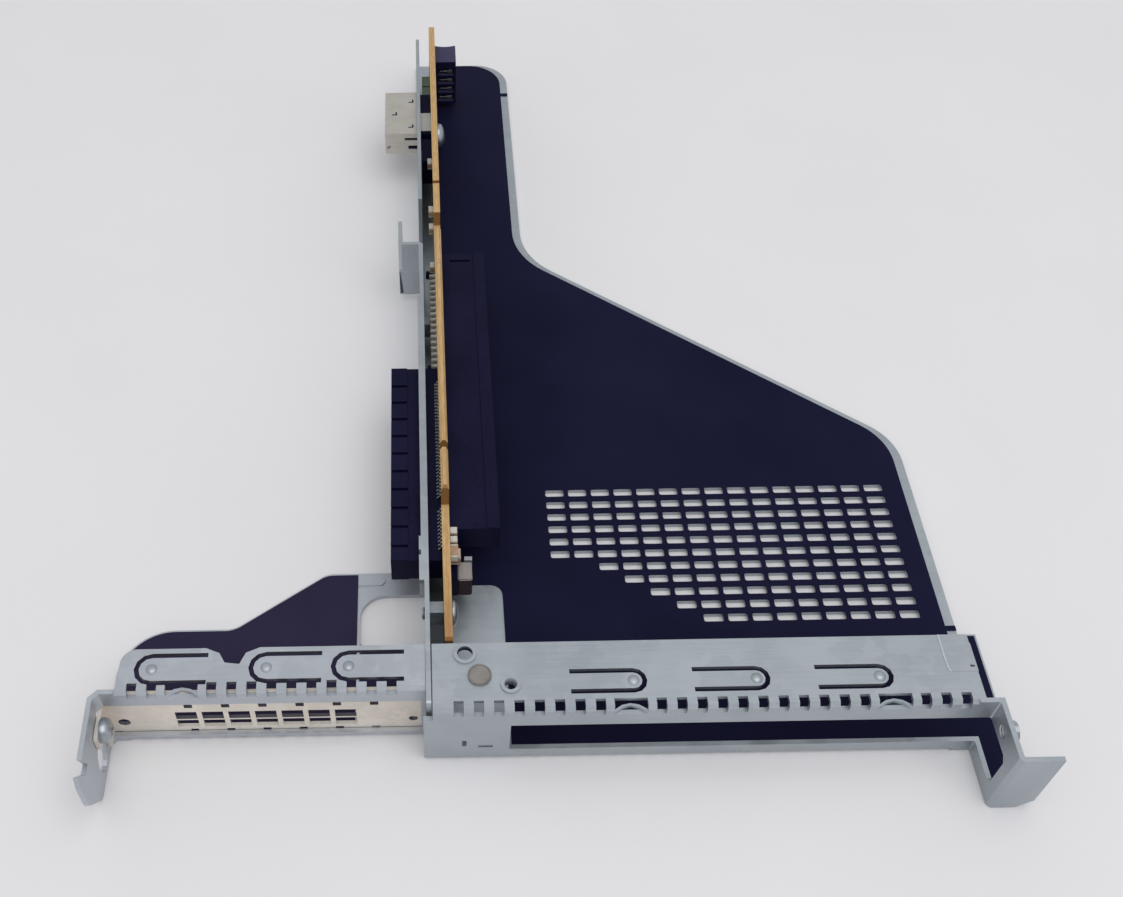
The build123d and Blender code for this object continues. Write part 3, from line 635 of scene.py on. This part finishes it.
web = bmesh.new()
cells = 0
for row in range(rows):
    y = vent_y + row * pitch_y
    missing = 0 if row >= stepped_rows else stepped_rows + 1 - row
    for column in range(missing, columns):
        x = vent_x + column * pitch_x
        rings = []
        for ring, z in (
            (cell_ring, film_high), (slot_ring, film_high),
            (slot_ring, film_low), (cell_ring, film_low),
        ):
            rings.append([web.verts.new(Vector((x + a, y + b, z)) * mm) for a, b in ring])
        join_rings(web, rings)
        cells += 1
    row_span = (vent_x + (missing - 0.5) * pitch_x, vent_x + (columns - 0.5) * pitch_x)
    for edge in (y - pitch_y / 2, y + pitch_y / 2):
        add_block(web, row_span, (edge - strip_half, edge + strip_half), strip_span)
piece("punched_film_web", web, cover_film)
print(cells, "slots in the film")

# %% [markdown]
# ## Turned shapes
# Screws, solder joints and threads are all turned shapes: a profile of radius and height spun
# round an axis. One helper spins any profile, and a matrix lays the result where it belongs.
# Screws here lie along X, so their matrix swings the spin axis from Z to X.


# %% Spin a profile round an axis
def add_lathe(shape, profile, place, sides=24, capped=True):
    """Spin (radius, height) points in millimetres round Z, then move them with a matrix."""
    angles = [2 * math.pi * side / sides for side in range(sides)]
    rings = []
    for radius, height in profile:
        ring = [Vector((radius * math.cos(a), radius * math.sin(a), height)) * mm for a in angles]
        rings.append([shape.verts.new(place @ point) for point in ring])
    join_rings(shape, rings)
    if capped:
        shape.faces.new(rings[0])
        shape.faces.new(rings[-1])


along_x = Matrix.Rotation(math.radians(90), 4, "Y")


def standing_at(x, y, z):
    """A place whose spin axis points along Z."""
    return Matrix.Translation(Vector((x, y, z)) * mm)


def lying_at(x, y, z):
    """A place whose spin axis points along X."""
    return standing_at(x, y, z) @ along_x


print("a lying axis points along", [round(value) for value in along_x.to_3x3() @ Vector((0, 0, 1))])

# %% [markdown]
# ## The profile of a screw
# Three screws hold the board and a fourth holds the blank. Each has a threaded shank and a
# low domed head. A thread is a climbing ridge, but on a shank this thin plain rings in the
# profile look the same and need no twist.


# %% Draw a screw's profile
def screw_profile(tip, head, rise):
    """Ringed shank from a tip up to the seat, then a domed head."""
    crest, root, pitch = 1.45, 1.2, 0.25
    profile = [(1.1, tip)]
    for turn in range(int(-tip / pitch)):
        profile.append((crest if turn % 2 else root, tip + 0.1 + turn * pitch))
    profile += [(crest, 0), (head * 0.97, 0), (head, rise * 0.12), (head, rise * 0.28)]
    for step in range(1, 7):
        angle = math.radians(step * 13)
        profile.append((head * math.cos(angle) ** 0.9, rise * (0.28 + 0.72 * math.sin(angle))))
    return profile


print(len(screw_profile(-6.35, 3.8, 2.5)), "points in a board screw's profile")

# %% [markdown]
# ## The driver's cross
# The recess is a cross of two bars that narrow towards the bottom. Modelled into the dome it
# would need many odd faces. A boolean modifier cuts it out in one go, and its result is kept
# as the mesh, so nothing is left to work out later.


# %% Shape a cross and cut with it
def bar_outline(length, width):
    return ((-length, -width), (length, -width), (length, width), (-length, width))


def add_cross(shape, place, size, depth):
    """Two bars that narrow towards the bottom of a driver's cross."""
    levels = ((bar_outline(size * 0.55, 0.25), -depth), (bar_outline(size, 0.42), 1.0))
    for across in (0, 90):
        spin = place @ Matrix.Rotation(math.radians(across), 4, "Z")
        rings = []
        for outline, height in levels:
            corners = [spin @ (Vector((x, y, height)) * mm) for x, y in outline]
            rings.append([shape.verts.new(corner) for corner in corners])
            shape.faces.new(rings[-1])
        join_rings(shape, rings)


def cut_away(target, cutter):
    """Cut one mesh out of another and keep the result."""
    modifier = target.modifiers.new("cut", "BOOLEAN")
    modifier.object = cutter
    modifier.solver = "EXACT"
    modifier.use_self = True
    shown = target.evaluated_get(bpy.context.evaluated_depsgraph_get())
    result = bpy.data.meshes.new_from_object(shown)
    target.modifiers.clear()
    target.data = result
    bpy.data.objects.remove(cutter)


# %% [markdown]
# ## Pan-headed screws
# A group of screws is spun in one mesh and their crosses in another, and then one is cut out
# of the other. Smooth shading makes the domes round, and a sharp angle keeps the rims and
# the crosses crisp. The low screw of the board has a smaller head than its neighbours.


# %% Turn the screws
def pan_screws(name, node, spots, seat, tip):
    """Screws along X; each spot is the middle's Y and Z, the head's radius and its rise."""
    shape = bmesh.new()
    crosses = bmesh.new()
    for y, z, head, rise in spots:
        add_lathe(shape, screw_profile(tip - seat, head, rise), lying_at(seat, y, z))
        add_cross(crosses, lying_at(seat + rise, y, z), head * 0.5, rise * 0.55)
    bmesh.ops.recalc_face_normals(crosses, faces=crosses.faces)
    cutter = bpy.data.objects.new("crosses", bpy.data.meshes.new("crosses"))
    crosses.to_mesh(cutter.data)
    crosses.free()
    bpy.context.scene.collection.objects.link(cutter)
    made = piece(name, shape, screw_zinc)
    cut_away(made, cutter)
    for face in made.data.polygons:
        face.use_smooth = True
    made.data.set_sharp_from_angle(angle=math.radians(35))
    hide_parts(node)
    print(name, len(made.data.polygons), "faces after the crosses are cut")


board_face = 0.85
board_spots = ((28.0, 12.0, 3.0, 1.4), (120.0, 6.0, 3.8, 2.5), (201.0, 6.0, 3.8, 2.5))
blank_spots = ((1.2, 13.0, 2.6, 2.5),)
pan_screws("board_pan_screws", "board_screws", board_spots, board_face, -5.5)
pan_screws("blank_pan_screw", "blank_screw", blank_spots, -70.3, -73.2)

# %% [markdown]
# ## Threads in the collars
# Two drawn collars are tapped for screws. A thread seen from the side is a row of small
# ridges, and at this size nobody sees that they climb, so each ridge is a plain ring. The
# rings are spun without caps, so the collar stays open.


# %% Ridges inside the tapped collars
def thread_rings(name, place, radius, length, pitch=0.5, depth=0.2):
    shape = bmesh.new()
    for turn in range(int(length / pitch)):
        low = turn * pitch
        ridge = ((radius, low), (radius - depth, low + pitch / 2), (radius, low + pitch))
        add_lathe(shape, ridge, place, capped=False)
    piece(name, shape, screw_zinc)


thread_rings("flange_thread_ridges", standing_at(12.0, 5.7, 18.5), 1.3, 2.5)
thread_rings("bracket_thread_ridges", lying_at(107.8, -4.6, 17.0), 1.4, 2.5)

# %% [markdown]
# ## Dimples on the spring fingers
# Each spring finger ends in a small dimple that touches the next chassis wall, so it is
# pressed as a smooth dome. Sculpting it into the sheet would change the CAD mesh. The domes
# are spun instead and sit over its flat-sided ones, with a thin skirt that meets the sheet.

# %% Press the dimples
dimple_profile = ((1.2, -0.02), (1.12, 0.05), (0.98, 0.2), (0.78, 0.34), (0.5, 0.44), (0.2, 0.48))
main_dimples = [(36.45 + 24.5 * n, 6.25, 20.5) for n in range(3)]
low_dimples = [(x, 10.9, 20.0) for x in (-60.1, -37.0, -20.4)]
dimples = bmesh.new()
for spot in main_dimples + low_dimples:
    add_lathe(dimples, dimple_profile, standing_at(*spot))
dimple_domes = piece("finger_dimples", dimples, sheet_steel)
dimple_domes.data.shade_smooth()

# %% [markdown]
# ## The struck rivet head
# The rivet's punch leaves a flat floor inside a thin raised rim. It is one more spun shape, a
# shallow dish that lies on the plain head of the CAD model.

# %% Strike the rivet
dish_profile = ((2.38, -0.05), (2.38, 0.12), (2.3, 0.22), (2.18, 0.22), (2.08, 0.12), (2.04, 0.02))
dish = bmesh.new()
add_lathe(dish, dish_profile, standing_at(5.9, 7.9, 20.9), sides=40)
piece("struck_rivet_dish", dish, rivet_face)

# %% [markdown]
# ## The film's rounded corner
# Where the film is cut out for the foot of the board wall, its corner is rounded. The CAD film
# has a square corner there, so a small fillet of film fills it: one outline with an arc.

# %% Fill the corner
corner_x, corner_y, corner_radius = 10.3, 39.6, 2.5
inner_x, inner_y = 12.95, 42.25
arc = []
for step in range(5):
    angle = step / 8 * math.pi
    arc_x = corner_x + corner_radius * math.cos(angle)
    arc_y = corner_y + corner_radius * math.sin(angle)
    arc.append((arc_x, arc_y))
fillet_outline = ((inner_x, inner_y), (inner_x, corner_y), *arc, (corner_x, inner_y))
fillet = bmesh.new()
add_flat(fillet, fillet_outline, film_low, film_high)
piece("film_corner", fillet, cover_film)

# %% [markdown]
# ## The lap at the flange's end
# At its outer end the flange is doubled by a thin lapped corner, seen as a faint step in the
# sheet. A line in the material would vanish from the side, so it is an outline raised by a
# tenth of a millimetre.

# %% Lap the corner
flange_top = 20.45
lap_outline = (
    (99.35, 15.4), (99.35, 10.9), (99.5, 7.7), (100.0, 6.9),
    (105.3, 6.9), (105.3, 13.2), (104.5, 15.4),
)
lap = bmesh.new()
add_flat(lap, lap_outline, flange_top, 20.58)
piece("flange_lap", lap, main_steel)

# %% [markdown]
# ## A painted highlight and a shaded notch on the lap
# A thin brighter strip follows the step's inner edge, a painted highlight where the edge catches
# the light. Near the flange's side a small relief notch lies in shadow, drawn as a thin plate of
# steel painted dark as shade.

# %% Paint a highlight on its edge and shade in its notch
lap_highlight_outline = (
    (99.15, 15.4), (99.15, 10.9), (99.3, 7.6), (99.7, 6.8),
    (99.95, 6.95), (99.65, 7.75), (99.5, 10.9), (99.5, 15.4),
)
notch_outline = ((103.85, 8.1), (104.1, 7.9), (104.9, 7.95), (104.8, 8.3), (104.1, 8.4))
lap_highlight = bmesh.new()
add_flat(lap_highlight, lap_highlight_outline, flange_top, 20.62)
piece("lap_edge_highlight", lap_highlight, highlight_zinc)
notch = bmesh.new()
add_flat(notch, notch_outline, flange_top, 20.6)
piece("lap_notch", notch, shaded_steel)

# %% [markdown]
# ## The sill of the side opening
# The side plate's opening starts a little further in than in the CAD model, so that film shows
# through the third finger's slots. A sill of sheet with film on it makes up the difference. Its
# ends lie inside the plate, a hair below both faces, so that no two faces share a place.

# %% Lay the sill and its film
sill_outline = (
    (-19.2, 16.6), (-5.6, 16.6), (-5.6, 26.0), (-17.2, 26.0), (-18.3, 26.4), (-19.2, 27.4),
)
film_setback = 0.3
sill = bmesh.new()
add_flat(sill, sill_outline, 0.02, 0.98)
piece("opening_sill", sill, sheet_steel)
sill_film = bmesh.new()
add_flat(sill_film, [(x, y - film_setback) for x, y in sill_outline], 0.97, 1.23)
piece("sill_film", sill_film, side_film)

# %% [markdown]
# ## The hook's lower half
# Below its crease the hook is as wide as above, so two strips beside the narrower CAD tail
# complete it. The crease itself is a low ridge, whose upper side catches the light.

# %% Widen the hook's tail
tail_y, tail_z = (136.25, 137.15), (2.55, 10.5)
crease_outline = ((136.3, 10.2), (136.08, 10.6), (136.3, 10.95))
tail = bmesh.new()
for strip in ((-6.05, -4.75), (-10.25, -9.35)):
    add_block(tail, strip, tail_y, tail_z)
add_prism(
    tail,
    crease_outline,
    lambda y, z: Vector((-9.9, y, z + 0.3)) * mm,
    lambda y, z: Vector((-4.8, y, z - 0.2)) * mm,
)
piece("hook_tail_strips", tail, sheet_steel)

# %% [markdown]
# ## The hook's return
# Along its free side the tail bends back, and that return lies in shadow. Seen from the front
# it is a thin wedge, painted dark as shade, that widens downwards, so it is drawn as one outline.

# %% Bend its edge back
return_outline = (
    (-10.25, 11.4), (-10.05, 10.5), (-9.45, 5.2), (-9.25, 3.2), (-10.05, 3.05), (-10.2, 6.0),
)
back = bmesh.new()
add_prism(
    back,
    return_outline,
    lambda x, z: Vector((x, 136.12, z)) * mm,
    lambda x, z: Vector((x, 136.3, z)) * mm,
)
piece("hook_return", back, shaded_steel)

# %% [markdown]
# ## Gold fingers
# The raised middle of the board's edge plugs into the main board. Both of its faces carry gold
# fingers at one millimetre, with a gap at the key. They could be painted as stripes, but a
# real finger is plated on. Each is 0.03 mm proud of the board with its lower corners cut, and
# is extruded from one small outline.

# %% Plate the fingers
plating = 0.03
finger_outline = (
    (-0.2, 21.0), (0.2, 21.0), (0.35, 21.15), (0.35, 25.9), (-0.35, 25.9), (-0.35, 21.15),
)
finger_places = [51.35 + n for n in range(11)] + [64.35 + n for n in range(71)]
fingers = bmesh.new()
for middle in finger_places:
    for face in (-1, 1):
        near = face * board_face
        far = face * (board_face + plating)
        add_prism(
            fingers,
            finger_outline,
            lambda y, z: Vector((near, middle + y, z)) * mm,
            lambda y, z: Vector((far, middle + y, z)) * mm,
        )
piece("gold_fingers", fingers, gold)
print(len(finger_places), "fingers on each face")

# %% [markdown]
# ## Solder joints of the long slot
# The long slot's pins pass through the board and are soldered on the left face. They stand in
# staggered rows, so each row has a pin every two millimetres, and the upper row is the line of
# bright dots beside the board. A joint is spun: a volcano of solder, then the pin with its tip.

# %% Solder the long slot
joint_profile = ((0.62, 0.0), (0.55, 0.15), (0.42, 0.45), (0.36, 0.8), (0.34, 1.3), (0.2, 1.48))
joint_rows = ((15.3, 11.7), (16.9, 13.3))
first_pin, last_pin, pin_key = 48.9, 130.0, (59.3, 62.3)
to_left = Matrix.Rotation(math.radians(-90), 4, "Y")

joints = bmesh.new()
for number in range(82):
    y = first_pin + number
    if pin_key[0] < y < pin_key[1] or y > last_pin:
        continue
    for z in joint_rows[number % 2]:
        add_lathe(joints, joint_profile, standing_at(-board_face, y, z) @ to_left, sides=10)
# The joints wear the pale fired-end finish, a painted highlight for the light they catch.
solder_joints = piece("slot_solder_joints", joints, fired_end)
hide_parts("x16_solder_tails")

# %% [markdown]
# ## Feet of the short slot
# The short slot is soldered flat on the board. Its feet step out from under the housing and
# lie on the pads, like a gull's wing seen from the end. The wing is one outline in X and Z,
# extruded by the width of the foot, and mirrored about the slot's middle for the other row.

# %% Bend the feet
foot_outline = (
    (-0.86, 19.1), (-1.15, 19.1), (-1.15, 18.45), (-1.75, 17.95),
    (-1.75, 17.7), (-1.5, 17.7), (-0.86, 18.25),
)
slot_middle = 14.25
first_foot, foot_key, half_foot = 40.6, (51.0, 54.2), 0.2

feet = bmesh.new()
for number in range(49):
    y = first_foot + number
    if foot_key[0] < y < foot_key[1]:
        continue
    for mirror in (1, -1):
        add_prism(
            feet,
            foot_outline,
            lambda x, z: Vector((x, y - half_foot, slot_middle + mirror * (z - slot_middle))) * mm,
            lambda x, z: Vector((x, y + half_foot, slot_middle + mirror * (z - slot_middle))) * mm,
        )
gull_feet = piece("slot_gull_feet", feet, solder)
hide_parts("x8_solder_feet")

# %% [markdown]
# ## Spring contacts in the slots
# Inside each slot two rows of springs wait for a card. A spring lies along the wall, bows
# towards the middle and turns back at the mouth. As with the feet, the bow is one outline
# that is extruded, once for each millimetre of the slot and once for each wall.

# %% Set the springs in both slots
spring_outline = (
    (4.2, 0.87), (7.6, 0.72), (9.4, 0.42), (10.2, 0.5), (10.9, 0.8),
    (11.0, 0.74), (10.3, 0.36), (9.4, 0.28), (7.5, 0.6), (4.2, 0.72),
)
half_spring = 0.25


def slot_springs(name, node, side, start, end, key):
    """Rows of springs on both walls of a slot that opens towards one side."""
    shape = bmesh.new()
    for number in range(math.ceil(end - start)):
        y = start + number
        if key[0] < y < key[1]:
            continue
        for wall in (1, -1):
            add_prism(
                shape,
                spring_outline,
                lambda x, z: Vector((side * x, y - half_spring, slot_middle + wall * z)) * mm,
                lambda x, z: Vector((side * x, y + half_spring, slot_middle + wall * z)) * mm,
            )
    springs = piece(name, shape, gold)
    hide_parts(node)


slot_springs("full_slot_springs", "x16_contacts", 1, 48.9, 132.8, (59.2, 62.4))
slot_springs("low_slot_springs", "x8_contacts", -1, 40.7, 91.5, (51.0, 54.2))

# %% [markdown]
# ## Chip parts on the board
# A ceramic chip is a small brown block with a fired end at each side, a hair thicker than the
# body. Some chips stand on end, so that only one cream end shows from above, and one lies along
# the board and shows both. A chip is its body's limits and the axis its ends lie on. Rounding
# the ends alone is enough, because the bodies lie back behind them.


# %% Lay chips in two materials
def round_edges(shape, radius, steps=2):
    """Bevel every edge of a shape by a radius in millimetres."""
    bmesh.ops.bevel(shape, geom=shape.edges[:], offset=radius * mm, segments=steps, affect="EDGES")


def chips(name, bodies, end=0.5, proud=0.04):
    """Bodies as limits in X, Y and Z with an axis; the fired ends are a piece of their own."""
    blocks = bmesh.new()
    ends = bmesh.new()
    for axis, limits in bodies:
        add_block(blocks, *limits)
        low, high = limits[axis]
        for span in ((low - proud, low + end), (high - end, high + proud)):
            grown = [(a - proud, b + proud) for a, b in limits]
            grown[axis] = span
            grown[0] = limits[0]
            add_block(ends, *grown)
    round_edges(ends, 0.12)
    piece(name + "_ends", ends, fired_end)
    return piece(name + "_bodies", blocks, ceramic)


# %% Chips in front of the long slot
axis_y, axis_z = 1, 2
right_bodies = chips("right_chips", (
    (axis_z, ((0.85, 2.5), (43.4, 45.1), (16.4, 19.8))),
    (axis_z, ((0.85, 2.5), (41.1, 42.7), (16.4, 19.8))),
    (axis_y, ((0.85, 2.55), (37.1, 40.5), (18.2, 19.8))),
    (axis_z, ((0.85, 3.2), (39.2, 41.9), (13.9, 16.2))),
))
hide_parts("ceramic_capacitors")

# %% Chips in the gap beside the wall
left_bodies = chips("left_chips", (
    (axis_z, ((-2.15, -0.85), (128.8, 130.9), (17.0, 19.0))),
    (axis_z, ((-2.15, -0.85), (143.9, 146.1), (17.0, 19.0))),
    (axis_z, ((-2.15, -0.85), (150.8, 153.2), (17.0, 19.0))),
    (axis_z, ((-2.15, -0.85), (170.8, 173.2), (17.4, 19.4))),
))
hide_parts("resistor_packs")

# %% [markdown]
# ## The choke's ferrite
# A squat choke sits on the board just behind the foot. Its wound block is dark brown with a
# pale ground top. The top is told from the sides by its normal, and fine lines run along it
# from the grinding, so it stays one block with one material.

# %% Grind the choke's top
ferrite = Finish("ground_ferrite", Specular_IOR_Level=0.15)
ground = ferrite.noise(1.0, 3.0, ferrite.stretched(2600.0, 220.0, 220.0))
pale = ferrite.blend(ground, paint(144, 135, 134), paint(174, 166, 163))
dark = ferrite.blend(ferrite.noise(500.0), paint(52, 38, 44), paint(76, 58, 62))
ferrite.colour(ferrite.blend(ferrite.ease(ferrite.facing("Z"), 0.5, 0.8), dark, pale))
ferrite.rough(0.5 + ground * 0.15)
ferrite.bump(ground, 0.15, 0.0001)
print("ferrite made with", len(ferrite.tree.nodes), "nodes")

# %% [markdown]
# ## The choke at the foot
# A black base holds the block to the board. Both are blocks with rounded edges, since pressed
# ferrite and moulded plastic never come out sharp.

# %% Stand the choke on the board
choke_base = bmesh.new()
add_block(choke_base, (0.85, 2.6), (35.7, 41.6), (6.8, 13.0))
round_edges(choke_base, 0.2)
piece("choke_base", choke_base, slot_plastic)
choke_block = bmesh.new()
add_block(choke_block, (2.5, 5.6), (35.6, 40.4), (7.0, 13.2))
round_edges(choke_block, 0.25, 3)
piece("choke_block", choke_block, ferrite)

# %% [markdown]
# ## Leaf contacts in the header
# Each chamber of the header shows a tinned leaf across its mouth: a broad bright end on one
# side and a slim arm that runs to the other. Both are plain strips with rounded edges, because
# the mouth hides how the leaf is bent further in.

# %% Fit the leaves
chamber_heights = (5.1, 8.2, 11.3, 14.4)
leaf_half, arm_half = 0.5, 0.16
leaves = bmesh.new()
for z in chamber_heights:
    add_block(leaves, (4.7, 6.2), (221.7, 227.4), (z - leaf_half, z + leaf_half))
    add_block(leaves, (2.3, 4.8), (221.9, 222.3), (z - arm_half, z + arm_half))
round_edges(leaves, 0.1)
header_leaves = piece("header_leaves", leaves, solder)
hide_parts("header_contacts")

# %% [markdown]
# ## Latch slots in the socket's shell
# Three small L-shaped slots are punched in the top of the shell, where tongues hold the
# moulded insert. The dark insert shows through them. Cutting the shell would change the CAD
# mesh, so they are thin plates of the insert's plastic set flush in its top.

# %% Show the insert through the latch slots
latch_outline = ((0.0, 0.0), (1.5, 0.0), (1.5, 1.5), (1.05, 1.5), (1.05, 0.45), (0.0, 0.45))
latch_corners = ((-7.3, 201.2), (-7.4, 189.2), (-12.2, 195.2))
latches = bmesh.new()
for x, y in latch_corners:
    add_flat(latches, [(x + a, y + b) for a, b in latch_outline], 17.8, 18.01)
piece("shell_latch_slots", latches, slot_plastic)

# %% [markdown]
# ## The bench
# A pale bench fills the picture and takes the part's soft shadow. It is one wide face just
# under the part, with a trace of cloud in its colour.

# %% Lay the bench
bench = Finish("pale_bench", Roughness=0.9, Specular_IOR_Level=0.1)
bench.colour(bench.blend(bench.noise(20.0, 2.0), paint(234, 232, 233), paint(239, 237, 238)))
bench_shape = bmesh.new()
bmesh.ops.create_grid(bench_shape, x_segments=1, y_segments=1, size=2.0)
bench_mesh = bpy.data.meshes.new("bench")
bench_shape.to_mesh(bench_mesh)
bench_shape.free()
bench_mesh.materials.append(bench.material)
bench_object = bpy.data.objects.new("bench", bench_mesh)
bench_object.location.z = cad_box[0].z - 0.0002
bpy.context.scene.collection.objects.link(bench_object)
print("bench", round(-bench_object.location.z / mm, 2), "mm under the plate")

# %% [markdown]
# ## The lamp and the air
# One large soft lamp above gives the gentle shadow of a product picture. A small lamp would
# draw hard shadows across the flanges. The air around adds the rest, so that a colour renders
# about as written.

# %% Hang the lamp and fill the air
lamp_data = bpy.data.lights.new("soft_lamp", "AREA")
lamp_data.size = 1.3
lamp_data.energy = 6.5
lamp = bpy.data.objects.new("soft_lamp", lamp_data)
lamp.location = (0.15, -0.3, 1.2)
lamp.rotation_euler = lamp.location.to_track_quat("Z", "Y").to_euler()
bpy.context.scene.collection.objects.link(lamp)

world = bpy.data.worlds.new("soft_air")
bpy.context.scene.world = world
world.use_nodes = True
air = world.node_tree.nodes["Background"]
air.inputs["Color"].default_value = (0.95, 0.97, 1.0, 1.0)
air.inputs["Strength"].default_value = 0.62
bpy.context.scene.view_settings.view_transform = "Standard"
print("lamp of", lamp_data.energy, "W, air at", round(air.inputs["Strength"].default_value, 2))
